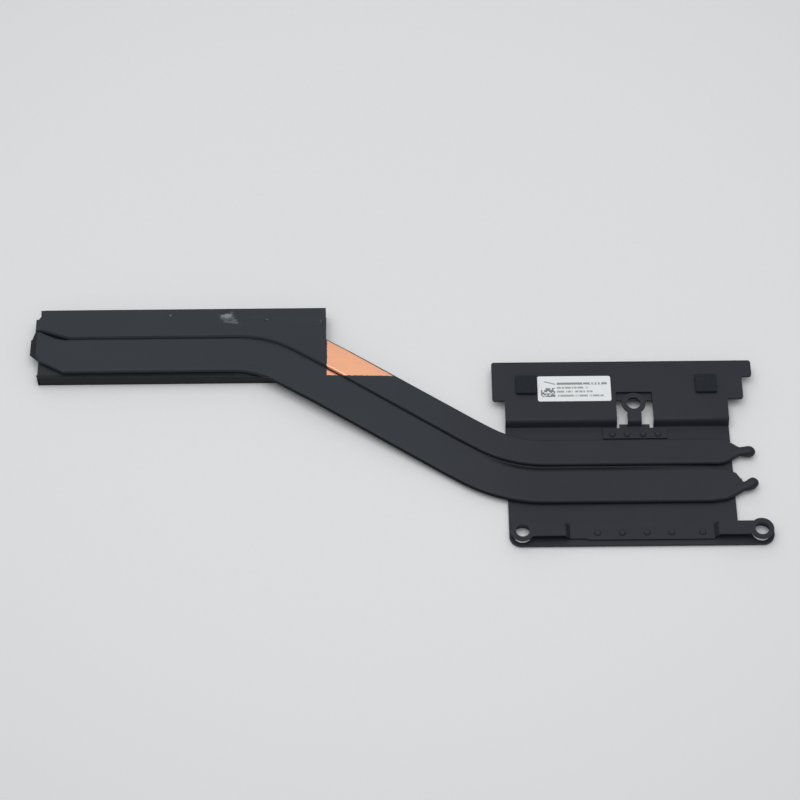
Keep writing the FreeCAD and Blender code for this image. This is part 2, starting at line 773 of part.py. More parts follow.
def make_rivets(label, places):
    """Set one rivet at each place: a tail under the plate, a shank and a sloped head on the bar."""
    body = new_body(label)
    for name, lift, radius, length in (
        ("tails", "rivet_tail_low", "rivet_tail_radius", "rivet_tail_height"),
        ("shanks", "rivet_tail_low", "rivet_shank_radius", "bar_top - rivet_tail_low"),
        ("heads", "bar_top", "rivet_head_radius", "rivet_head_height"),
    ):
        sketch = new_sketch(body, label + "_" + name, "XY_Plane", lift)
        draw_circles(sketch, places, radius)
        pad(body, sketch, length)
    heads = body.Tip
    crown = size("bar_top") + size("rivet_head_height")
    rims = []
    for number, edge in enumerate(heads.Shape.Edges, start=1):
        if abs(edge.BoundBox.ZMin - crown) < SAME_PLACE:
            rims.append("Edge%d" % number)
    slopes = body.newObject("PartDesign::Chamfer", label + "_slopes")
    slopes.Base = (heads, rims)
    slopes.setExpression("Size", bound("rivet_head_slope"))
    doc.recompute()
    return body


# Foam pads and label


def make_foam_pad(label, left_x):
    foam = doc.addObject("Part::Box", label)
    foam.Label = label
    foam.setExpression("Length", bound("pad_size"))
    foam.setExpression("Width", bound("pad_size"))
    foam.setExpression("Height", bound("pad_thickness"))
    foam.setExpression("Placement.Base.x", bound(left_x))
    foam.setExpression("Placement.Base.y", bound("pad_front_y"))
    foam.setExpression("Placement.Base.z", bound("flap_top"))
    return foam


def make_label():
    body = new_body("label")
    sketch = new_sketch(body, "label_outline", "XY_Plane", "flap_top")
    right = "label_x + label_length"
    rear = "label_front_y + label_width"
    draw_rectangle(sketch, "label_x", right, "label_front_y", rear)
    pad(body, sketch, "label_thickness")
    sides = (size("label_x"), size("label_x") + size("label_length"))
    ends = (size("label_front_y"), size("label_front_y") + size("label_width"))
    round_edges(body, "label_corners", 2, [(x, y) for x in sides for y in ends], "label_corner_radius")
    return body


def check_and_export(pieces):
    """Stop on any failed object or bad shape, then write one STEP file for each sub-part."""
    doc.recompute()
    failed = [item.Name for item in doc.Objects if "Invalid" in item.State or "Error" in item.State]
    if failed:
        raise RuntimeError("failed objects: " + ", ".join(failed))
    for piece in pieces:
        if piece.Shape.isNull() or not piece.Shape.isValid() or not piece.Shape.Solids:
            raise RuntimeError("bad shape: " + piece.Label)
    os.makedirs("parts", exist_ok=True)
    for piece in pieces:
        piece.Shape.exportStep(os.path.join("parts", piece.Label + ".step"))
        print(piece.Label, len(piece.Shape.Solids), "solids", round(piece.Shape.Volume, 2), "mm3")


fill_sheet()
check_and_export([
    make_pipe("front"),
    make_pipe("rear"),
    make_fin_stack(),
    make_film(),
    make_base_plate(),
    make_cold_plate(),
    make_front_spring_bar(),
    make_rear_spring_tongue(),
    make_rivets("front_bar_rivets", front_rivets()),
    make_rivets("tongue_rivets", tongue_rivets()),
    make_foam_pad("left_foam_pad", "left_pad_x"),
    make_foam_pad("right_foam_pad", "right_pad_x"),
    make_label(),
])
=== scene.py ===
"""Laptop thermal module: finishes, foam pads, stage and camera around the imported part.

Lengths are metres in the part's own frame: +X towards the pipe tails, +Y to the rear flap, +Z up.
"""
import math

import bpy
import numpy as np
from bpy.props import FloatProperty, FloatVectorProperty, PointerProperty
from bpy.types import Operator, Panel, PropertyGroup
from mathutils import Matrix, Vector


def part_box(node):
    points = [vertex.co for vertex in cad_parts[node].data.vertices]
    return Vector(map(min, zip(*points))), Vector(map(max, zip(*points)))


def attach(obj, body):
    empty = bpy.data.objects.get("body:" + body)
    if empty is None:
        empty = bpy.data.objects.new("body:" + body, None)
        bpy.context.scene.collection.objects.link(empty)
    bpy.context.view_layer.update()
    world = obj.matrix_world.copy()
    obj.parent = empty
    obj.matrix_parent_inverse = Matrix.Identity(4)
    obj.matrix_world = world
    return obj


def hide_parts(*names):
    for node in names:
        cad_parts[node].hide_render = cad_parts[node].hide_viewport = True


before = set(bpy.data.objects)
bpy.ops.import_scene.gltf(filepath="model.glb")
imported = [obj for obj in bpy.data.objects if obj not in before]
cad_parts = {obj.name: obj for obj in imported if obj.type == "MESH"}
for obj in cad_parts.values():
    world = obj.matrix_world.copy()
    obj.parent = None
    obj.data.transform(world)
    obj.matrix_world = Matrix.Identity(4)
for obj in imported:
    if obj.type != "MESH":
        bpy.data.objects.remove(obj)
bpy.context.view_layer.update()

bl_info = {
    "name": "Thermal Module Finisher",
    "version": (1, 0, 0),
    "blender": (4, 5, 0),
    "location": "View3D > Sidebar > Thermal",
    "description": "Dresses a laptop heat pipe module and sets its studio stage",
    "category": "Object",
}

MM = 0.001
PIPES = ("front_heat_pipe", "rear_heat_pipe")
SPRINGS = ("front_spring_bar", "rear_spring_tongue")
RIVETS = ("front_bar_rivets", "tongue_rivets")
PADS = ("left_foam_pad", "right_foam_pad")
# Squared distances in metres from the floor's lit middle over which its colour darkens, as painted shade
# for the light falling off
FLOOR_PAINTED_FALLOFF = (0.004, 0.06)

# From here to the two pipe runs, lengths and places are in millimetres, and the label's are shares.

# Flat tops of the pipes over the fins and over the plate, and the two ends of the groove between them
PIPE_HIGH = 5.0
PIPE_LOW = 2.8
GROOVE_START = -166.0
GROOVE_END = 21.0

# Paint bead in the groove: its bite into the pipes' sides, its sag and its depths along the run
BEAD_BITE = 0.06
BEAD_SAG = 0.06
BEAD_DEPTH_LEFT = 0.7
BEAD_DEPTH_RIGHT = 1.2
BEAD_DEPTH_END = 1.58
BEAD_END_RUN = 13.0

# Dipped tails: name, then root, neck and tip, then the half widths there
TAILS = (
    (
        "front_dipped_tail",
        ((28.2, -5.2, 2.04), (30.1, -5.55, 2.06), (32.6, -4.45, 2.06)),
        (2.9, 1.38, 1.58),
    ),
    (
        "rear_dipped_tail",
        ((27.9, 6.2, 2.04), (29.7, 6.15, 2.06), (32.4, 6.13, 2.06)),
        (2.7, 1.42, 1.56),
    ),
)
TAIL_HALF_FLAT = 0.83

# Crimped nose of the front pipe: place along X, rear edge, front edge and top
NOSE_CRIMP = (
    (-177.0, 45.0, 41.0, 4.18),
    (-176.5, 46.7, 40.6, 4.3),
    (-175.9, 48.75, 40.2, 4.5),
    (-175.3, 48.8, 39.9, 4.92),
    (-174.0, 48.3, 39.6, 5.02),
    (-170.0, 46.2, 39.2, 4.96),
)
NOSE_CRIMP_LOW = 3.42

# Stretches of X over which the pipes' finish changes
# The painted shade on the pipes' front sides is full between these two stretches
FREE_START = (-116.0, -96.0)
FREE_END = (-42.0, -28.0)
PLATE_TINT = (-75.0, -25.0)
# Painted shade on the crimped nose tip, fading out over this stretch
CRIMP_SHADE = (-175.5, -174.9)
# Painted shade along the front pipe's rear edge on the right run comes in and fades over these stretches
GROOVE_SHADE_START = (-47.0, -34.0)
GROOVE_SHADE_END = (-12.0, 16.0)

# Film folded over the fins' front: lift, fold radius, flange top and its right end under the pipe, then
# depths on the flange, heights down the front and the torn left end of each point of the profile
FOLD_LIFT = 0.05
FOLD_RADIUS = 0.18
FLANGE_TOP = 3.4
FLANGE_RIGHT = -116.4
FLANGE_DEPTHS = (1.28, 0.7)
FRONT_HEIGHTS = (2.3, 1.2, 0.12)
TORN_ENDS = (-0.35, -0.2, 0.5, 0.75, 0.8, 0.8, 0.75, 0.35, 0.7, 0.55)

# Shelf under the rear of the slot: left, right, front, rear, low and high
SLOT_SHELF = (-5.9, 6.3, 23.6, 26.9, 2.5, 2.99)

# Marks on the cover film: ovals are x, y, half x and half y; lines are start, end, half width and,
# where it isn't the usual one, the softness of the ends
RUBBED_CORNERS = [(-121.5, 53.5), (-119.6, 51.0), (-115.6, 50.6), (-117.8, 54.4)]
RUBBED_CORE = (-119.3, 53.6, 1.6, 0.8)
PALE_DOT = (-136.0, 53.85, 0.35, 0.3)
PALE_FLECK = (-107.3, 52.05, 0.4, 0.2)
PALE_NICK = ((-91.3, 51.6), (-91.0, 50.9), 0.3)
DARK_FLECK = (-107.7, 51.75, 0.45, 0.25)
DARK_NICK = ((-90.75, 51.2), (-90.7, 49.3), 0.35, 0.2)
LOW_CREASE = ((-101.9, 49.6), (-91.5, 49.9), 0.45)
TOP_CREASE = ((-113.5, 52.5), (-91.5, 51.8), 0.6, 4.0)

# Printed fields of the label as shares of its length and width: left, right, bottom and top
HEAD_ROW = (0.265, 0.95, 0.655, 0.745)
SMALL_ROWS = ((0.265, 0.69, 0.5, 0.575), (0.265, 0.75, 0.345, 0.42), (0.275, 0.9, 0.18, 0.255))
SQUARES = (0.045, 0.24, 0.17, 0.53)
STROKE = (0.09, 0.245, 0.6, 0.8)


class PipeRun:
    """A pipe's centreline: half width, Y of both level runs, then X, radius and drop at each bend."""

    def __init__(self, half, left, right, bends, radii, drops):
        self.half = half * MM
        self.left = left * MM
        self.right = right * MM
        self.bend_1, self.bend_2 = [place * MM for place in bends]
        self.radius_1, self.radius_2 = [radius * MM for radius in radii]
        self.drop_start, self.drop_end = [length * MM for length in drops]
        self.turn = math.atan2(self.left - self.right, self.bend_2 - self.bend_1)
        self.length = math.hypot(self.left - self.right, self.bend_2 - self.bend_1)
        self.start = GROOVE_START * MM
        self.end = GROOVE_END * MM
        self.high = PIPE_HIGH * MM
        self.low = PIPE_LOW * MM


# Both runs as the part's source has them
FRONT_RUN = PipeRun(5.827, 39.95, -4.65, (-108.9, -38.0), (28.0, 39.0), (23.0, 17.0))
REAR_RUN = PipeRun(4.256, 50.253, 6.253, (-105.59, -35.645), (35.0, 33.0), (25.0, 15.0))


# Shader sums


class Tone:
    """A shader socket that takes part in Python sums; each sum adds its own Math node."""

    def __init__(self, tree, socket=None):
        self.tree = tree
        self.socket = socket

    def make(self, kind, settings=None, sockets=None, output=0):
        """Add a node of a kind, set it up, then give its sockets values or links."""
        node = self.tree.nodes.new(kind)
        for name, value in (settings or {}).items():
            setattr(node, name, value)
        for name, value in (sockets or {}).items():
            if isinstance(value, Tone):
                self.tree.links.new(value.socket, node.inputs[name])
            else:
                node.inputs[name].default_value = value
        return Tone(self.tree, node.outputs[output] if node.outputs else None)

    def sum(self, operation, first, second=0.0):
        """Add a Math node that works on two values or links."""
        return self.make("ShaderNodeMath", {"operation": operation}, {0: first, 1: second})

    def __add__(self, other):
        return self.sum("ADD", self, other)

    def __sub__(self, other):
        return self.sum("SUBTRACT", self, other)

    def __rsub__(self, other):
        return self.sum("SUBTRACT", other, self)

    def __mul__(self, other):
        return self.sum("MULTIPLY", self, other)

    def __truediv__(self, other):
        return self.sum("DIVIDE", self, other)

    def __rtruediv__(self, other):
        return self.sum("DIVIDE", other, self)

    def __gt__(self, other):
        return self.sum("GREATER_THAN", self, other)

    def __lt__(self, other):
        return self.sum("LESS_THAN", self, other)

    def __and__(self, other):
        return self.sum("MULTIPLY", self, other)

    def __or__(self, other):
        return self.sum("MAXIMUM", self, other)

    # These read the same from either side
    __radd__ = __add__
    __rmul__ = __mul__
    __rand__ = __and__
    __ror__ = __or__

    def __abs__(self):
        return self.sum("ABSOLUTE", self)

    def held(self):
        """Hold this value between 0 and 1."""
        return self.sum("MINIMUM", self.sum("MAXIMUM", self, 0.0), 1.0)

    def ramp(self, low, high, start=0.0, end=1.0):
        """Carry this value smoothly from one stretch onto another."""
        return self.make(
            "ShaderNodeMapRange",
            {"interpolation_type": "SMOOTHSTEP"},
            {"Value": self, "From Min": low, "From Max": high, "To Min": start, "To Max": end},
        )

    def blend(self, low, high):
        """Mix two colours by this value."""
        return self.make(
            "ShaderNodeMix",
            {"data_type": "RGBA"},
            {"Factor": self, 6: low, 7: high},
            output=2,
        )


class Finish:
    """One material: its tree, its place sockets and its surface."""

    def __init__(self, name):
        self.material = bpy.data.materials.new(name)
        self.material.use_nodes = True
        self.tree = self.material.node_tree
        self.tree.nodes.clear()
        self.tone = Tone(self.tree)
        self.place = self.tone.make("ShaderNodeTexCoord", output=3)
        split = self.tone.make("ShaderNodeSeparateXYZ", sockets={"Vector": self.place}).socket.node
        self.x, self.y, self.z = [Tone(self.tree, split.outputs[axis]) for axis in "XYZ"]

    def along(self, stretch, start=0.0, end=1.0):
        """Go smoothly from one value to another over a stretch of X in millimetres."""
        return self.x.ramp(stretch[0] * MM, stretch[1] * MM, start, end)

    def noise(self, size, detail=2.0, roughness=0.5, stretch=(1.0, 1.0, 1.0)):
        """Even noise whose lumps are about the stated size, stretched along the axes."""
        place = self.tone.make(
            "ShaderNodeMapping", {"vector_type": "TEXTURE"}, {"Vector": self.place, "Scale": stretch},
        )
        return self.tone.make(
            "ShaderNodeTexNoise",
            {"noise_dimensions": "3D"},
            {"Vector": place, "Scale": 1.0 / size, "Detail": detail, "Roughness": roughness},
        )

    def cells(self, size):
        """Distance to the nearest cell centre of a packed foam of the stated size."""
        return self.tone.make(
            "ShaderNodeTexVoronoi", {"feature": "F1"}, {"Vector": self.place, "Scale": 1.0 / size},
        )

    def bump(self, height, depth):
        """Turn heights from 0 to 1 into a normal, as relief of the stated depth."""
        return self.tone.make("ShaderNodeBump", None, {"Height": height, "Distance": depth})

    def surface(self, **sockets):
        """Close the material with one Principled surface."""
        named = {name.replace("_", " "): value for name, value in sockets.items()}
        shader = self.tone.make("ShaderNodeBsdfPrincipled", None, named)
        self.tone.make("ShaderNodeOutputMaterial", None, {"Surface": shader})
        return self.material


def opaque(colour):
    """Give a colour its full alpha."""
    return (colour[0], colour[1], colour[2], 1.0)


def shade(colour, share):
    """Scale a colour by a share and give it its full alpha."""
    return (colour[0] * share, colour[1] * share, colour[2] * share, 1.0)


# Finishes


def painted_black(name, looks, colour, lump, depth):
    """Satin black paint: cloudy tone, fine grain and a faint orange-peel skin."""
    finish = Finish(name)
    tone, cloud = mottled(finish)
    peel = finish.noise(lump, 3.0, 0.55)
    return finish.surface(
        Base_Color=tone.blend(shade(colour, 0.92), shade(colour, 1.08)),
        Roughness=looks.paint_roughness - 0.05 + cloud * 0.1,
        Specular_IOR_Level=looks.paint_gloss,
        Normal=finish.bump(peel, depth),
    )


def mottled(finish):
    """Return a paint's uneven tone, and the broad cloud in it."""
    cloud = finish.noise(18 * MM, 3.0)
    grain = finish.noise(0.35 * MM, 2.0, 0.6)
    return (cloud * 0.7 + grain * 0.3).ramp(0.3, 0.7), cloud


def pipe_top(finish):
    """Height of the pipes' flat top at a place: level runs joined by an even fall along the slant."""
    run = FRONT_RUN
    travel = (finish.x - run.bend_1) * math.cos(run.turn) - (finish.y - run.left) * math.sin(run.turn)
    fall = run.length - run.drop_start - run.drop_end
    share = ((travel - run.drop_start) / fall).held()
    return run.high - share * (run.high - run.low)


def before_middle(finish, run):
    """1 in front of a pipe's middle line, 0 behind it."""
    share = ((finish.x - run.bend_1) / (run.bend_2 - run.bend_1)).held()
    return finish.y < run.left - share * (run.left - run.right)


def groove_edge_shade(finish):
    """Painted shade along the rear edge of the front pipe's right run, where the groove lies in shadow, by
    the distance in from that edge.
    """
    run = FRONT_RUN
    lead = run.radius_2 * math.tan(run.turn / 2)
    from_x = finish.tone.sum("MINIMUM", finish.x - (run.bend_2 + lead), 0.0)
    from_y = finish.y - (run.right + run.radius_2)
    reach = finish.tone.sum("SQRT", from_x * from_x + from_y * from_y)
    inward = reach - (run.radius_2 - run.half)
    across = inward.ramp(0.7 * MM, 1.9 * MM, 1.0, 0.0) & (inward > -0.3 * MM)
    return across & finish.along(GROOVE_SHADE_START) & finish.along(GROOVE_SHADE_END, 1.0, 0.4)


def pipe_finish(name, looks):
    """Black paint with a masked window of bare copper where the pipes leave the fins, and painted shade on
    the front sides, the crimped nose tip and the groove edge of the right run.
    """
    finish = Finish(name)
    ragged = (finish.noise(0.7 * MM, 3.0) - 0.5) * (0.5 * MM)
    soft = 0.08 * MM
    inside = (finish.x + ragged).ramp(looks.copper_left - soft, looks.copper_left + soft)
    behind = (finish.y + ragged).ramp(looks.copper_front - soft, looks.copper_front + soft)
    beyond = (finish.x + ragged).ramp(looks.copper_right, looks.copper_right + 2 * soft, 1.0, 0.0)
    depth = pipe_top(finish) - finish.z
    before_front = before_middle(finish, FRONT_RUN)
    free = finish.along(FREE_START) & finish.along(FREE_END, 1.0, 0.0)
    # Painted shade: the front sides of the pipes are darkened, in full on the free slant and at 0.12 of
    # that elsewhere.
    side = depth.ramp(0.03 * MM, 0.26 * MM) & before_front & (0.12 + free * 0.88)
    rim = depth.ramp(0.05 * MM, 0.1 * MM, 1.0, 0.0) | before_middle(finish, REAR_RUN)
    bare = inside & behind & beyond & rim & depth.ramp(0.5 * MM, 0.62 * MM, 1.0, 0.0)
    tone, cloud = mottled(finish)
    onto_plate = finish.along(PLATE_TINT)
    deep = onto_plate.blend(shade(looks.paint_colour, 0.92), shade(looks.plate_colour, 0.92))
    pale = onto_plate.blend(shade(looks.paint_colour, 1.08), shade(looks.plate_colour, 1.08))
    # Painted shade: the crimped nose tip is darkened where its facet slopes down.
    crimped = finish.along(CRIMP_SHADE, 0.7, 0.0)
    groove_shade = groove_edge_shade(finish)
    # The mix below is painted shade, not thinner paint: darker front sides, crimped nose tip and groove
    # edge.
    thin = crimped | (side * looks.side_shade_share) | groove_shade
    paint = thin.blend(tone.blend(deep, pale), shade(looks.paint_colour, 0.2))
    streak = finish.noise(0.5 * MM, 3.0, 0.6, stretch=(14.0, 1.0, 1.0))
    stain = finish.noise(6 * MM, 3.0)
    copper = (streak * 0.5 + stain * 0.5).ramp(0.3, 0.7).blend(
        shade(looks.copper_colour, 0.93), shade(looks.copper_colour, 1.04))
    peel = finish.noise(0.5 * MM, 3.0, 0.55)
    skin = peel * (1 - bare) + streak * bare * 0.4
    satin = looks.paint_roughness - 0.05 + cloud * 0.1 + (side | groove_shade) * 0.4
    return finish.surface(
        Base_Color=bare.blend(paint, copper),
        Metallic=bare,
        Roughness=satin * (1 - bare) + (0.38 + stain * 0.1) * bare,
        Specular_IOR_Level=looks.paint_gloss,
        Normal=finish.bump(skin, 0.012 * MM),
    )


def spot(finish, at_x, at_y, half_x, half_y, soft=0.5):
    """A soft-edged oval mark, 1 in its middle and 0 outside."""
    across = (finish.x - at_x * MM) / (half_x * MM)
    along = (finish.y - at_y * MM) / (half_y * MM)
    reach = across * across + along * along
    return reach.ramp(1.0 - soft, 1.0 + soft, 1.0, 0.0)


def patch(finish, corners, wobble, soft):
    """A soft-edged patch inside corners that go round counter-clockwise, its sides moved by a wobble."""
    inside = 1.0
    for (x0, y0), (x1, y1) in zip(corners, corners[1:] + corners[:1]):
        length = math.hypot(x1 - x0, y1 - y0)
        depth = (finish.y - y0 * MM) * ((x1 - x0) / length) - (finish.x - x0 * MM) * ((y1 - y0) / length)
        inside = (depth + wobble).ramp(-soft, soft) * inside
    return inside


def line_mark(finish, start, end, half_width, soft_end=0.6):
    """A soft line between two points: 1 on the line, fading across it and at its ends."""
    (x0, y0), (x1, y1) = start, end
    length = math.hypot(x1 - x0, y1 - y0)
    way = ((x1 - x0) / length, (y1 - y0) / length)
    from_x = finish.x - x0 * MM
    from_y = finish.y - y0 * MM
    across = abs(from_y * way[0] - from_x * way[1])
    along = from_x * way[0] + from_y * way[1]
    fade = soft_end * MM
    ends = along.ramp(-fade, fade) & along.ramp(length * MM - fade, length * MM + fade, 1.0, 0.0)
    return across.ramp(0.0, half_width * MM, 1.0, 0.0) & ends


def film_finish(name, looks):
    """Black film: shallow ripples, one rubbed patch, small pale marks, pressed creases and painted shade
    along the lower crease.
    """
    finish = Finish(name)
    tone, _ = mottled(finish)
    film = tone.blend(shade(looks.film_colour, 0.92), shade(looks.film_colour, 1.08))
    flecks = finish.noise(0.7 * MM, 4.0, 0.65)
    wobble = (flecks - 0.5) * (3.6 * MM)
    rub = patch(finish, RUBBED_CORNERS, wobble, 0.35 * MM)
    core = spot(finish, *RUBBED_CORE, soft=0.9)
    smear = finish.noise(0.45 * MM, 3.0, 0.6, stretch=(3.0, 1.0, 1.0)).ramp(0.35, 0.65)
    rub = rub & (0.1 + smear * 0.28 + core * 0.45)
    marks = rub | (spot(finish, *PALE_DOT) * 0.3) | (spot(finish, *PALE_FLECK) * 0.25)
    marks = marks | (line_mark(finish, *PALE_NICK) * 0.25)
    low_crease = line_mark(finish, *LOW_CREASE)
    top_crease = line_mark(finish, *TOP_CREASE)
    # The lower crease also darkens the film's colour a little: painted shade in the crease.
    dark = spot(finish, *DARK_FLECK) | line_mark(finish, *DARK_NICK) | (low_crease * 0.25)
    scuffed = marks.blend(film, opaque(looks.scuff_colour))
    base = (dark * 0.75).blend(scuffed, shade(looks.film_colour, 0.3))
    ripple = finish.noise(9 * MM, 2.0) * 0.7 + finish.noise(0.4 * MM, 2.0) * 0.06
    return finish.surface(
        Base_Color=base,
        Roughness=looks.paint_roughness + 0.02 + marks * 0.15,
        Specular_IOR_Level=looks.paint_gloss,
        Normal=finish.bump(ripple - low_crease * 0.8 - top_crease * 0.7, 0.08 * MM),
    )


def label_finish(name, looks):
    """White stock with plain fields: rows of short bars, a block of squares and a slanted stroke."""
    finish = Finish(name)
    low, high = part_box("label")
    across = (finish.x - low[0]) / (high[0] - low[0])
    along = (finish.y - low[1]) / (high[1] - low[1])

    def field(left, right, bottom, top):
        return ((across > left) & (across < right)) & ((along > bottom) & (along < top))

    def random_of(count_x, count_y):
        cell_x = finish.tone.sum("FLOOR", across * count_x)
        cell_y = finish.tone.sum("FLOOR", along * count_y)
        cell = finish.tone.make("ShaderNodeCombineXYZ", None, {"X": cell_x, "Y": cell_y})
        return finish.tone.make("ShaderNodeTexWhiteNoise", {"noise_dimensions": "2D"}, {"Vector": cell})

    bars = random_of(88.0, 6.0) > 0.22
    heavy = field(*HEAD_ROW) & bars
    rows = field(*SMALL_ROWS[0])
    for row in SMALL_ROWS[1:]:
        rows = rows | field(*row)
    squares = field(*SQUARES) & (random_of(46.0, 22.0) > 0.38)
    slope = abs(along - 0.86 + across * 0.75)
    stroke = (slope < 0.022) & field(*STROKE)
    ink = (heavy * 0.72) | (rows & bars) * 0.6 | (squares * 0.8) | (stroke * 0.7)
    fibre = finish.noise(0.12 * MM, 3.0, 0.6)
    paper = fibre.ramp(0.3, 0.7).blend(shade(looks.label_colour, 0.98), shade(looks.label_colour, 1.02))
    return finish.surface(
        Base_Color=ink.blend(paper, opaque(looks.ink_colour)),
        Roughness=0.55 + fibre * 0.1,
        Normal=finish.bump(fibre, 0.004 * MM),
    )


def foam_finish(name, looks):
    """Matte closed-cell foam: small rounded cells with painted shade in the hollows between them, and an
    uneven tone.
    """
    finish = Finish(name)
    cells = finish.cells(0.28 * MM)
    lumps = finish.noise(1.2 * MM, 2.0)
    # Painted shade: the colour darkens away from the cell middles, where the bump leaves hollows; the
    # lumps add uneven tone.
    hollow_shade_and_tone = (cells * 0.7 + lumps * 0.3).ramp(0.15, 0.6)
    return finish.surface(
        Base_Color=hollow_shade_and_tone.blend(shade(looks.foam_colour, 1.25), shade(looks.foam_colour, 0.75)),
        Roughness=0.86 + lumps * 0.1,
        Normal=finish.bump(1 - cells, 0.05 * MM),
    )


def milled_copper(name, looks):
    """Bare copper face with fine lines from milling; the paint between the pipes runs onto its top."""
    finish = Finish(name)
    lines = finish.noise(0.25 * MM, 2.0, 0.5, stretch=(30.0, 1.0, 1.0))
    stain = finish.noise(5 * MM, 3.0)
    copper = stain.ramp(0.3, 0.7).blend(shade(looks.copper_colour, 0.86), opaque(looks.copper_colour))
    bare = finish.z < looks.copper_top
    return finish.surface(
        Base_Color=bare.blend(opaque(looks.plate_colour), copper),
        Metallic=bare,
        Roughness=0.28 + stain * 0.14 + (1 - bare) * 0.2,
        Specular_IOR_Level=looks.paint_gloss,
        Normal=finish.bump(lines, 0.008 * MM),
    )


def floor_finish(name, colour, middle):
    """Pale matte board with a barely visible tooth; its colour darkens away from its lit middle as painted
    shade for the light falling off.
    """
    finish = Finish(name)
    tooth = finish.noise(1.5 * MM, 3.0)
    from_x = finish.x - middle[0]
    from_y = finish.y - middle[1]
    painted_falloff = (from_x * from_x + from_y * from_y).ramp(*FLOOR_PAINTED_FALLOFF)
    board = tooth.ramp(0.3, 0.7).blend(shade(colour, 0.995), shade(colour, 1.005))
    return finish.surface(
        Base_Color=painted_falloff.blend(board, shade(colour, 0.9)),
        Roughness=0.9,
        Specular_IOR_Level=0.1,
    )


def dress(node, material):
    """Give a part of the frame its finish in every material slot."""
    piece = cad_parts[node]
    slots = piece.data.materials
    if not slots:
        slots.append(material)
    for index in range(len(slots)):
        slots[index] = material
    return piece


def soften_edges(piece, width):
    """Break the sharp sheet edges by the stated width, as stamped and painted metal has them."""
    weld = piece.modifiers.new("weld", "WELD")
    weld.merge_threshold = 1e-6
    bevel = piece.modifiers.new("edge_break", "BEVEL")
    bevel.width = width
    bevel.segments = 2
    bevel.limit_method = "ANGLE"
    bevel.angle_limit = math.radians(35)
    bevel.use_clamp_overlap = True


# Pieces


def superoval(count, power):
    """Return cosine and sine of even turns, each raised to 2/power with its sign kept."""
    turn = np.linspace(0.0, 2 * np.pi, count, endpoint=False)
    sharp = 2.0 / power
    cosine = np.sign(np.cos(turn)) * np.abs(np.cos(turn)) ** sharp
    sine = np.sign(np.sin(turn)) * np.abs(np.sin(turn)) ** sharp
    return cosine, sine


def pad_rings(low, high, crown, edge, count=48, steps=7):
    """Return the rings of a foam pad from its foot to its top.

    Each ring is a superoval of power 16 in plan. The rings rise straight, turn in by a quarter circle
    at the rim, then close over a top that swells by the crown times half a cosine.
    """
    middle = (np.array(low) + np.array(high)) / 2
    half = (np.array(high) - np.array(low)) / 2
    cosine, sine = superoval(count, 16.0)
    rim = np.linspace(0.0, np.pi / 2, steps)[1:]
    top = np.linspace(1.0, 0.0, steps + 1)[1:-1]
    wall = 2 * half[2] - crown - edge
    inset = np.concatenate([[0.0, 0.0], edge * (1 - np.cos(rim)), edge + (half[0] - edge) * (1 - top)])
    swell = crown * 0.5 * (1 + np.cos(np.pi * top))
    rise = np.concatenate([[0.0, wall], wall + edge * np.sin(rim), wall + edge + swell])
    return np.stack([
        middle[0] + (half[0] - inset)[:, None] * cosine,
        middle[1] + (half[1] - inset)[:, None] * sine,
        low[2] + np.repeat(rise[:, None], count, axis=1),
    ], axis=2)


def oval_rings(centres, half_wide, half_high, power=2.0, count=28, across=None):
    """Return superoval rings along a path, each with its own width and height.

    A ring stands square to the path in plan, or along the one stated way across.
    """
    cosine, sine = superoval(count, power)
    if across is None:
        ahead = np.gradient(centres[:, :2], axis=0)
        ahead = ahead / np.linalg.norm(ahead, axis=1, keepdims=True)
        across = np.stack([-ahead[:, 1], ahead[:, 0], np.zeros(len(centres))], axis=1)
    across = np.broadcast_to(across, centres.shape)
    upward = np.array([0.0, 0.0, 1.0])
    sideways = (half_wide[:, None] * cosine)[:, :, None] * across[:, None, :]
    return centres[:, None, :] + sideways + (half_high[:, None] * sine)[:, :, None] * upward


def loft(name, rings, material):
    """Join a stack of rings by quads and close both ends with fans."""
    stack, count = rings.shape[:2]
    around = np.arange(count)
    ahead = (around + 1) % count
    start = np.arange(stack - 1)[:, None] * count
    above = start + count
    quads = np.stack([start + around, start + ahead, above + ahead, above + around], axis=2)
    last = (stack - 1) * count
    peak = stack * count
    top = np.stack([last + around, last + ahead, np.full(count, peak)], axis=1)
    bottom = np.stack([ahead, around, np.full(count, peak + 1)], axis=1)
    ends = np.stack([rings[-1].mean(axis=0), rings[0].mean(axis=0)])
    faces = quads.reshape(-1, 4).tolist() + top.tolist() + bottom.tolist()
    return new_piece(name, np.concatenate([rings.reshape(-1, 3), ends]), faces, material)


def sheet(name, grid, material):
    """Join a grid of points by quads into an open sheet."""
    rows, columns = grid.shape[:2]
    corner = (np.arange(rows - 1)[:, None] * columns + np.arange(columns - 1)).ravel()
    faces = np.stack([corner, corner + 1, corner + columns + 1, corner + columns], axis=1)
    return new_piece(name, grid.reshape(-1, 3), faces.tolist(), material)


def new_piece(name, points, faces, material):
    """Make a smooth mesh piece that rides the root and takes the given finish."""
    mesh = bpy.data.meshes.new(name)
    mesh.from_pydata(points.tolist(), [], faces)
    mesh.polygons.foreach_set("use_smooth", np.ones(len(mesh.polygons), dtype=bool))
    mesh.update()
    mesh.materials.append(material)
    piece = bpy.data.objects.new(name, mesh)
    bpy.context.scene.collection.objects.link(piece)
    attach(piece, "root")
    return piece


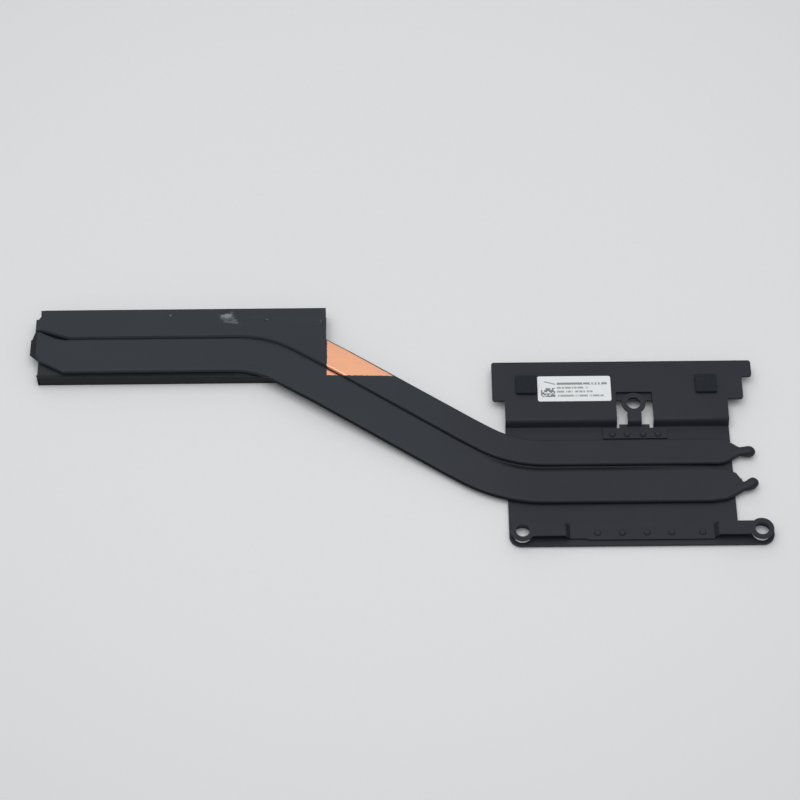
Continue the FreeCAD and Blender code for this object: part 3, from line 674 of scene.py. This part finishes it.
def tail_rings(knots, half_wide, flat):
    """Return the rings of a dipped tail: a flat flared root that runs into a round finger end.

    The path is a parabola through root, neck and tip. The half width flares to the root with the square
    of the way left and swells to the tip by a smooth step, the height likewise, and the end closes as a
    quarter circle.
    """
    reach = np.linspace(0.0, 1.0, 21)
    radius = half_wide[2]
    bend = 2 * knots[1] - (knots[0] + knots[2]) / 2
    share = reach[:, None]
    path = knots[0] * (1 - share) ** 2 + bend * 2 * share * (1 - share) + knots[2] * share ** 2
    close = np.linspace(0.0, np.pi / 2, 9)[1:-1]
    way = (knots[2] - bend) / np.linalg.norm(knots[2] - bend)
    centres = np.concatenate([path, knots[2] + radius * np.sin(close)[:, None] * way])
    shrink = radius * np.cos(close)
    flare = np.maximum(1 - 2 * reach, 0.0) ** 2
    swell = np.maximum(2 * reach - 1, 0.0)
    swell = swell * swell * (3 - 2 * swell)
    wide = half_wide[1] + (half_wide[0] - half_wide[1]) * flare + (radius - half_wide[1]) * swell
    high = flat * 1.1 + (radius - flat * 1.1) * swell - flat * 0.1 * flare
    wide = np.concatenate([wide, shrink])
    high = np.concatenate([high, shrink])
    return oval_rings(centres, wide, high, 2.4)


def crimp_rings():
    """Return the rings of the front pipe's crimped nose: its edges and top go straight between places."""
    places, *edges = np.array(NOSE_CRIMP).T * MM
    along = np.linspace(places[0], places[-1], 60)
    rear, front, top = [np.interp(along, places, edge) for edge in edges]
    low = NOSE_CRIMP_LOW * MM
    centres = np.stack([along, (rear + front) / 2, (top + low) / 2], axis=1)
    return oval_rings(centres, (rear - front) / 2, (top - low) / 2, 7.0, 48, across=(0.0, 1.0, 0.0))


def pipe_edge(run, offset):
    """Return points along one side of a pipe: straight, arc, straight, arc, straight.

    The arcs have the centreline's radius plus the offset at the first bend and less it at the second;
    the height falls evenly along the slanted part.
    """
    turn = run.turn
    slant = np.array([math.cos(turn), -math.sin(turn)])
    normal = np.array([math.sin(turn), math.cos(turn)])
    first = np.array([run.bend_1, run.left])
    second = np.array([run.bend_2, run.right])
    lead_1 = run.radius_1 * math.tan(turn / 2)
    lead_2 = run.radius_2 * math.tan(turn / 2)
    sweep = np.linspace(0.0, turn, 24)
    centre_1 = first + np.array([-lead_1, -run.radius_1])
    arc_1 = centre_1 + (run.radius_1 + offset) * np.stack([np.sin(sweep), np.cos(sweep)], axis=1)
    centre_2 = second - slant * lead_2 + normal * run.radius_2
    back = turn - sweep
    arc_2 = centre_2 - (run.radius_2 - offset) * np.stack([np.sin(back), np.cos(back)], axis=1)
    share = np.linspace(0.0, 1.0, 60)[1:, None]
    begin = np.array([[run.start, run.left + offset]])
    last = np.array([[run.end, run.right + offset]])
    slanted = (arc_1[-1] * (1 - share) + arc_2[0] * share)[:-1]
    level = arc_2[-1] * (1 - share) + last * share
    plan = np.concatenate([begin, arc_1, slanted, arc_2, level])
    travel = (plan - first) @ slant
    height = np.interp(travel, [run.drop_start, run.length - run.drop_end], [run.high, run.low])
    return np.concatenate([plan, height[:, None]], axis=1)


def groove_grid():
    """Return the grid of the paint bead between the pipes: a strip ruled from side to side.

    It sags by half a sine across, and its depth below the pipes goes evenly from left to right.
    """
    front = pipe_edge(FRONT_RUN, FRONT_RUN.half - BEAD_BITE * MM)
    rear = pipe_edge(REAR_RUN, BEAD_BITE * MM - REAR_RUN.half)
    share = np.linspace(0.0, 1.0, 7)[None, :, None]
    grid = rear[:, None, :] * (1 - share) + front[:, None, :] * share
    sag = BEAD_SAG * np.sin(np.pi * share[..., 0])
    stops = [FRONT_RUN.bend_1, FRONT_RUN.bend_2, FRONT_RUN.end - BEAD_END_RUN * MM, FRONT_RUN.end]
    depths = [BEAD_DEPTH_LEFT, BEAD_DEPTH_RIGHT, BEAD_DEPTH_RIGHT, BEAD_DEPTH_END]
    depth = np.interp(front[:, 0], stops, depths)
    grid[:, :, 2] -= (depth[:, None] + sag) * MM
    return grid


def folded_film_grid(columns=160):
    """Return the grid of a film laid on the fins' front flange, folded over and down their front.

    The profile is flat, a quarter circle, then upright. Each of its points has its own left end, so that
    the cut looks torn, and its own right end, since the flange runs in under the bent pipe while the
    front goes on. Two sines along the film give it a faint wave.
    """
    low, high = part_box("fin_stack")
    lift = FOLD_LIFT * MM
    front = low[1] - lift
    flange = FLANGE_TOP * MM + lift
    fold = np.linspace(0.0, np.pi / 2, 5)
    radius = FOLD_RADIUS * MM
    on_flange = front + np.array(FLANGE_DEPTHS) * MM
    down_front = np.array(FRONT_HEIGHTS) * MM
    in_fold = front + radius * (1 - np.sin(fold))
    across = np.concatenate([on_flange, in_fold, np.full(len(down_front), front)])
    fold_height = flange - radius * (1 - np.cos(fold))
    height = np.concatenate([np.full(len(on_flange), flange), fold_height, down_front])
    left = low[0] + np.array(TORN_ENDS) * MM
    right = np.full(len(across), high[0])
    right[:len(on_flange)] = FLANGE_RIGHT * MM
    share = np.linspace(0.0, 1.0, columns)[:, None]
    places = left + (right - left) * share
    wave = 0.015 * MM * np.sin(places / (3.1 * MM)) * np.sin(places / (7.3 * MM) + 1.0)
    return np.stack([places, np.broadcast_to(across, places.shape), height + wave], axis=2)


def shelf_rings(count=12):
    """Return the rings of the thin shelf under the rear of the slot: one superoval carried along X."""
    left, right, front, rear, low, high = np.array(SLOT_SHELF) * MM
    centres = np.full((count, 3), ((left + right) / 2, (front + rear) / 2, (low + high) / 2))
    centres[:, 0] = np.linspace(left, right, count)
    half_wide = np.full(count, (rear - front) / 2)
    half_high = np.full(count, (high - low) / 2)
    return oval_rings(centres, half_wide, half_high, 9.0, 40, across=(0.0, 1.0, 0.0))


# Settings


class ThermalLooks(PropertyGroup):
    """Colours and places that a user of the module would change."""

    paint_colour: FloatVectorProperty(
        name="Paint", description="Black paint of the pipes", subtype="COLOR",
        default=(0.024, 0.029, 0.0365))
    plate_colour: FloatVectorProperty(
        name="Plate paint", description="Black paint of plate and springs", subtype="COLOR",
        default=(0.0195, 0.021, 0.0295))
    fin_colour: FloatVectorProperty(
        name="Fin paint", description="Black paint of the fins", subtype="COLOR",
        default=(0.0215, 0.025, 0.03))
    film_colour: FloatVectorProperty(
        name="Film", description="Film over the fins' ledge", subtype="COLOR",
        default=(0.0245, 0.03, 0.037))
    scuff_colour: FloatVectorProperty(
        name="Scuff", description="Rubbed film", subtype="COLOR", default=(0.3, 0.33, 0.36))
    copper_colour: FloatVectorProperty(
        name="Copper", description="Bare copper", subtype="COLOR", default=(0.735, 0.372, 0.228))
    label_colour: FloatVectorProperty(
        name="Label", description="Label stock", subtype="COLOR", default=(0.72, 0.74, 0.76))
    ink_colour: FloatVectorProperty(
        name="Ink", description="Printed fields", subtype="COLOR", default=(0.05, 0.055, 0.06))
    foam_colour: FloatVectorProperty(
        name="Foam", description="Foam pads", subtype="COLOR", default=(0.0052, 0.0088, 0.0145))
    paint_roughness: FloatProperty(
        name="Paint roughness", description="Satin of the black paint", subtype="FACTOR", default=0.5)
    paint_gloss: FloatProperty(
        name="Paint gloss", description="Mirror share of the black paint", subtype="FACTOR", default=0.2)
    # Share of the painted shade that darkens the pipes' front sides
    side_shade_share: FloatProperty(
        name="Dark sides", description="How much darker the pipes' sides are", subtype="FACTOR",
        default=0.9)
    copper_top: FloatProperty(
        name="Copper top", description="Height where the cold plate's paint starts", unit="LENGTH",
        default=0.5 * MM)
    copper_left: FloatProperty(
        name="Copper left", description="Left edge of the bare window", unit="LENGTH", default=-89.35 * MM)
    copper_right: FloatProperty(
        name="Copper right", description="Right limit of the bare window", unit="LENGTH",
        default=-60.0 * MM)
    copper_front: FloatProperty(
        name="Copper front", description="Front edge of the bare window", unit="LENGTH", default=32.1 * MM)
    edge_break: FloatProperty(
        name="Edge break", description="Softened sheet edges", unit="LENGTH", default=0.08 * MM)
    foam_crown: FloatProperty(
        name="Foam crown", description="Swell of a pad's top", unit="LENGTH", default=0.1 * MM)
    foam_edge: FloatProperty(
        name="Foam edge", description="Rounded rim of a pad", unit="LENGTH", default=0.2 * MM)


class ThermalStage(PropertyGroup):
    """Floor, light and camera."""

    floor_colour: FloatVectorProperty(
        name="Floor", description="Pale floor", subtype="COLOR", default=(0.71, 0.725, 0.74))
    floor_middle: FloatVectorProperty(
        name="Floor middle", description="Lit middle of the floor", subtype="TRANSLATION",
        default=(-68.0 * MM, 76.0 * MM, 0.0))
    floor_size: FloatProperty(name="Floor size", description="Floor's width", unit="LENGTH", default=6.0)
    sky_colour: FloatVectorProperty(
        name="Sky colour", description="Tint of the soft surrounding light", subtype="COLOR",
        default=(0.985, 0.995, 1.0))
    sky_low: FloatProperty(name="Sky low", description="Level all round", default=0.36)
    sky_high: FloatProperty(
        name="Sky high", description="Level in the bright field at the back", default=0.9)
    field_way: FloatVectorProperty(
        name="Field", description="Way to the bright field's middle", subtype="DIRECTION",
        default=(-0.12, 0.54, 0.83))
    field_rim: FloatProperty(name="Field rim", description="Cosine at the field's outer rim", default=0.5)
    field_core: FloatProperty(
        name="Field core", description="Cosine at the field's full level", default=0.93)
    lamp_power: FloatProperty(
        name="Lamp", description="Power of the overhead lamp", unit="POWER", default=5.7)
    lamp_colour: FloatVectorProperty(
        name="Lamp colour", description="Tint of the overhead lamp", subtype="COLOR",
        default=(1.0, 0.99, 0.98))
    lamp_length: FloatProperty(
        name="Lamp length", description="Overhead lamp's side along X", unit="LENGTH", default=1.1)
    lamp_depth: FloatProperty(
        name="Lamp depth", description="Overhead lamp's side along Y", unit="LENGTH", default=0.9)
    lamp_place: FloatVectorProperty(
        name="Lamp place", description="Middle of the overhead lamp", subtype="TRANSLATION",
        default=(-0.1, -0.06, 1.0))
    target: FloatVectorProperty(
        name="Target", description="Point at the middle of the view", subtype="TRANSLATION",
        default=(-68.0 * MM, 26.4 * MM, 0.0))
    distance: FloatProperty(name="Distance", description="Camera to target", unit="LENGTH", default=0.7331)
    elevation: FloatProperty(
        name="Elevation", description="Camera above the floor", subtype="ANGLE",
        default=math.radians(57.0))
    yaw: FloatProperty(
        name="Yaw", description="Camera turn", subtype="ANGLE", default=math.radians(0.25))
    roll: FloatProperty(
        name="Roll", description="Camera tilt", subtype="ANGLE", default=math.radians(-0.35))
    lens: FloatProperty(
        name="Lens", description="Focal length on a 36 mm sensor", subtype="DISTANCE_CAMERA",
        default=112.5)


# Operators


class THERMAL_OT_paint_pipes(Operator):
    """Paint both heat pipes black and leave a window of bare copper"""

    bl_idname = "thermal.paint_pipes"
    bl_label = "Paint Pipes"

    def execute(self, context):
        material = pipe_finish("pipe_paint", context.scene.thermal_looks)
        for node in PIPES:
            dress(node, material)
        for name, knots, half_wide in TAILS:
            rings = tail_rings(np.array(knots) * MM, np.array(half_wide) * MM, TAIL_HALF_FLAT * MM)
            loft(name, rings, material)
        loft("front_nose_crimp", crimp_rings(), material)
        sheet("groove_bead", groove_grid(), material)
        return {"FINISHED"}


class THERMAL_OT_finish_fins(Operator):
    """Paint the fin stack and dress the film over its ledge"""

    bl_idname = "thermal.finish_fins"
    bl_label = "Finish Fins"

    def execute(self, context):
        looks = context.scene.thermal_looks
        dress("fin_stack", painted_black("fin_paint", looks, looks.fin_colour, 0.4 * MM, 0.006 * MM))
        dress("fin_cover_film", film_finish("cover_film", looks))
        # The front film's colour is the fin paint at 0.31: painted shade on the fins' front face.
        front = painted_black("front_film", looks, shade(looks.fin_colour, 0.31), 0.6 * MM, 0.03 * MM)
        sheet("fin_front_film", folded_film_grid(), front)
        return {"FINISHED"}


class THERMAL_OT_finish_plate(Operator):
    """Paint the base plate, its springs and its rivets, and mill the cold plate"""

    bl_idname = "thermal.finish_plate"
    bl_label = "Finish Plate"

    def execute(self, context):
        looks = context.scene.thermal_looks
        sheet_paint = painted_black("plate_paint", looks, looks.plate_colour, 0.45 * MM, 0.01 * MM)
        spring = painted_black("spring_paint", looks, looks.plate_colour, 0.4 * MM, 0.008 * MM)
        soften_edges(dress("base_plate", sheet_paint), looks.edge_break)
        for node in SPRINGS:
            soften_edges(dress(node, spring), looks.edge_break)
        for node in RIVETS:
            dress(node, spring)
        loft("slot_shelf", shelf_rings(), sheet_paint)
        dress("cold_plate", milled_copper("cold_copper", looks))
        return {"FINISHED"}


class THERMAL_OT_make_foam_pads(Operator):
    """Model the two foam pads on the flap as crowned blocks"""

    bl_idname = "thermal.make_foam_pads"
    bl_label = "Make Foam Pads"

    def execute(self, context):
        looks = context.scene.thermal_looks
        material = foam_finish("foam", looks)
        for node in PADS:
            low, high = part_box(node)
            rings = pad_rings(low, high, looks.foam_crown, looks.foam_edge)
            piece = loft(node + "_foam", rings, material)
            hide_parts(node)
        return {"FINISHED"}


class THERMAL_OT_print_label(Operator):
    """Dress the label with plain stock and generic printed fields"""

    bl_idname = "thermal.print_label"
    bl_label = "Print Label"

    def execute(self, context):
        dress("label", label_finish("label_stock", context.scene.thermal_looks))
        return {"FINISHED"}


class THERMAL_OT_set_stage(Operator):
    """Lay the pale floor, hang the soft light and set the camera"""

    bl_idname = "thermal.set_stage"
    bl_label = "Set Stage"

    def execute(self, context):
        stage = context.scene.thermal_stage
        self.lay_floor(stage)
        self.hang_light(stage)
        self.set_camera(context.scene, stage)
        context.scene.view_settings.view_transform = "Standard"
        return {"FINISHED"}

    def lay_floor(self, stage):
        half = stage.floor_size / 2
        mesh = bpy.data.meshes.new("floor")
        corners = [(-half, -half, 0.0), (half, -half, 0.0), (half, half, 0.0), (-half, half, 0.0)]
        mesh.from_pydata(corners, [], [(0, 1, 2, 3)])
        mesh.materials.append(floor_finish("floor_board", stage.floor_colour, stage.floor_middle))
        floor = bpy.data.objects.new("floor", mesh)
        bpy.context.scene.collection.objects.link(floor)

    def hang_light(self, stage):
        """Sky: dim all round with one broad bright field high at the back; a soft lamp overhead."""
        world = bpy.data.worlds.new("studio_sky")
        world.use_nodes = True
        world.node_tree.nodes.clear()
        tone = Tone(world.node_tree)
        way = tone.make("ShaderNodeTexCoord", output=0)
        facing = tone.make(
            "ShaderNodeVectorMath", {"operation": "DOT_PRODUCT"}, {0: way, 1: stage.field_way}, output=1,
        )
        level = facing.ramp(stage.field_rim, stage.field_core, stage.sky_low, stage.sky_high)
        tint = level.blend((0.0, 0.0, 0.0, 1.0), opaque(stage.sky_colour))
        sky = tone.make("ShaderNodeBackground", None, {"Color": tint, "Strength": 1.0})
        tone.make("ShaderNodeOutputWorld", None, {"Surface": sky})
        bpy.context.scene.world = world
        lamp = bpy.data.lights.new("overhead", "AREA")
        lamp.shape = "RECTANGLE"
        lamp.size = stage.lamp_length
        lamp.size_y = stage.lamp_depth
        lamp.energy = stage.lamp_power
        lamp.color = stage.lamp_colour
        hung = bpy.data.objects.new("overhead", lamp)
        place = Vector(stage.lamp_place)
        hung.location = place
        hung.rotation_euler = (Vector(stage.target) - place).to_track_quat("-Z", "Y").to_euler()
        bpy.context.scene.collection.objects.link(hung)

    def set_camera(self, scene, stage):
        """Aim from yaw and elevation, then tilt by the roll about the view line."""
        flat = math.cos(stage.elevation)
        fall = -math.sin(stage.elevation)
        forward = Vector((math.sin(stage.yaw) * flat, math.cos(stage.yaw) * flat, fall))
        level = Vector((math.cos(stage.yaw), -math.sin(stage.yaw), 0.0))
        upright = level.cross(forward)
        right = level * math.cos(stage.roll) + upright * math.sin(stage.roll)
        top = upright * math.cos(stage.roll) - level * math.sin(stage.roll)
        turn = Matrix((right, top, -forward)).transposed()
        data = bpy.data.cameras.new("camera")
        data.lens = stage.lens
        data.sensor_width = 36.0
        camera = bpy.data.objects.new("camera", data)
        eye = Vector(stage.target) - forward * stage.distance
        camera.matrix_world = Matrix.Translation(eye) @ turn.to_4x4()
        scene.collection.objects.link(camera)
        scene.camera = camera


STEPS = (
    THERMAL_OT_paint_pipes,
    THERMAL_OT_finish_fins,
    THERMAL_OT_finish_plate,
    THERMAL_OT_make_foam_pads,
    THERMAL_OT_print_label,
    THERMAL_OT_set_stage,
)


class THERMAL_PT_panel(Panel):
    """Buttons for each group of pieces, with the sizes and colours they read"""

    bl_label = "Thermal Module"
    bl_idname = "THERMAL_PT_panel"
    bl_space_type = "VIEW_3D"
    bl_region_type = "UI"
    bl_category = "Thermal"

    def draw(self, context):
        for step in STEPS:
            self.layout.operator(step.bl_idname)
        for group in (context.scene.thermal_looks, context.scene.thermal_stage):
            box = self.layout.box()
            for name in group.bl_rna.properties.keys():
                if name not in ("rna_type", "name"):
                    box.prop(group, name)


CLASSES = (ThermalLooks, ThermalStage) + STEPS + (THERMAL_PT_panel,)


def register():
    for kind in CLASSES:
        bpy.utils.register_class(kind)
    bpy.types.Scene.thermal_looks = PointerProperty(type=ThermalLooks)
    bpy.types.Scene.thermal_stage = PointerProperty(type=ThermalStage)


def unregister():
    del bpy.types.Scene.thermal_stage
    del bpy.types.Scene.thermal_looks
    for kind in reversed(CLASSES):
        bpy.utils.unregister_class(kind)


def main():
    register()
    bpy.ops.thermal.paint_pipes()
    bpy.ops.thermal.finish_fins()
    bpy.ops.thermal.finish_plate()
    bpy.ops.thermal.make_foam_pads()
    bpy.ops.thermal.print_label()
    bpy.ops.thermal.set_stage()


if __name__ == "__main__":
    main()
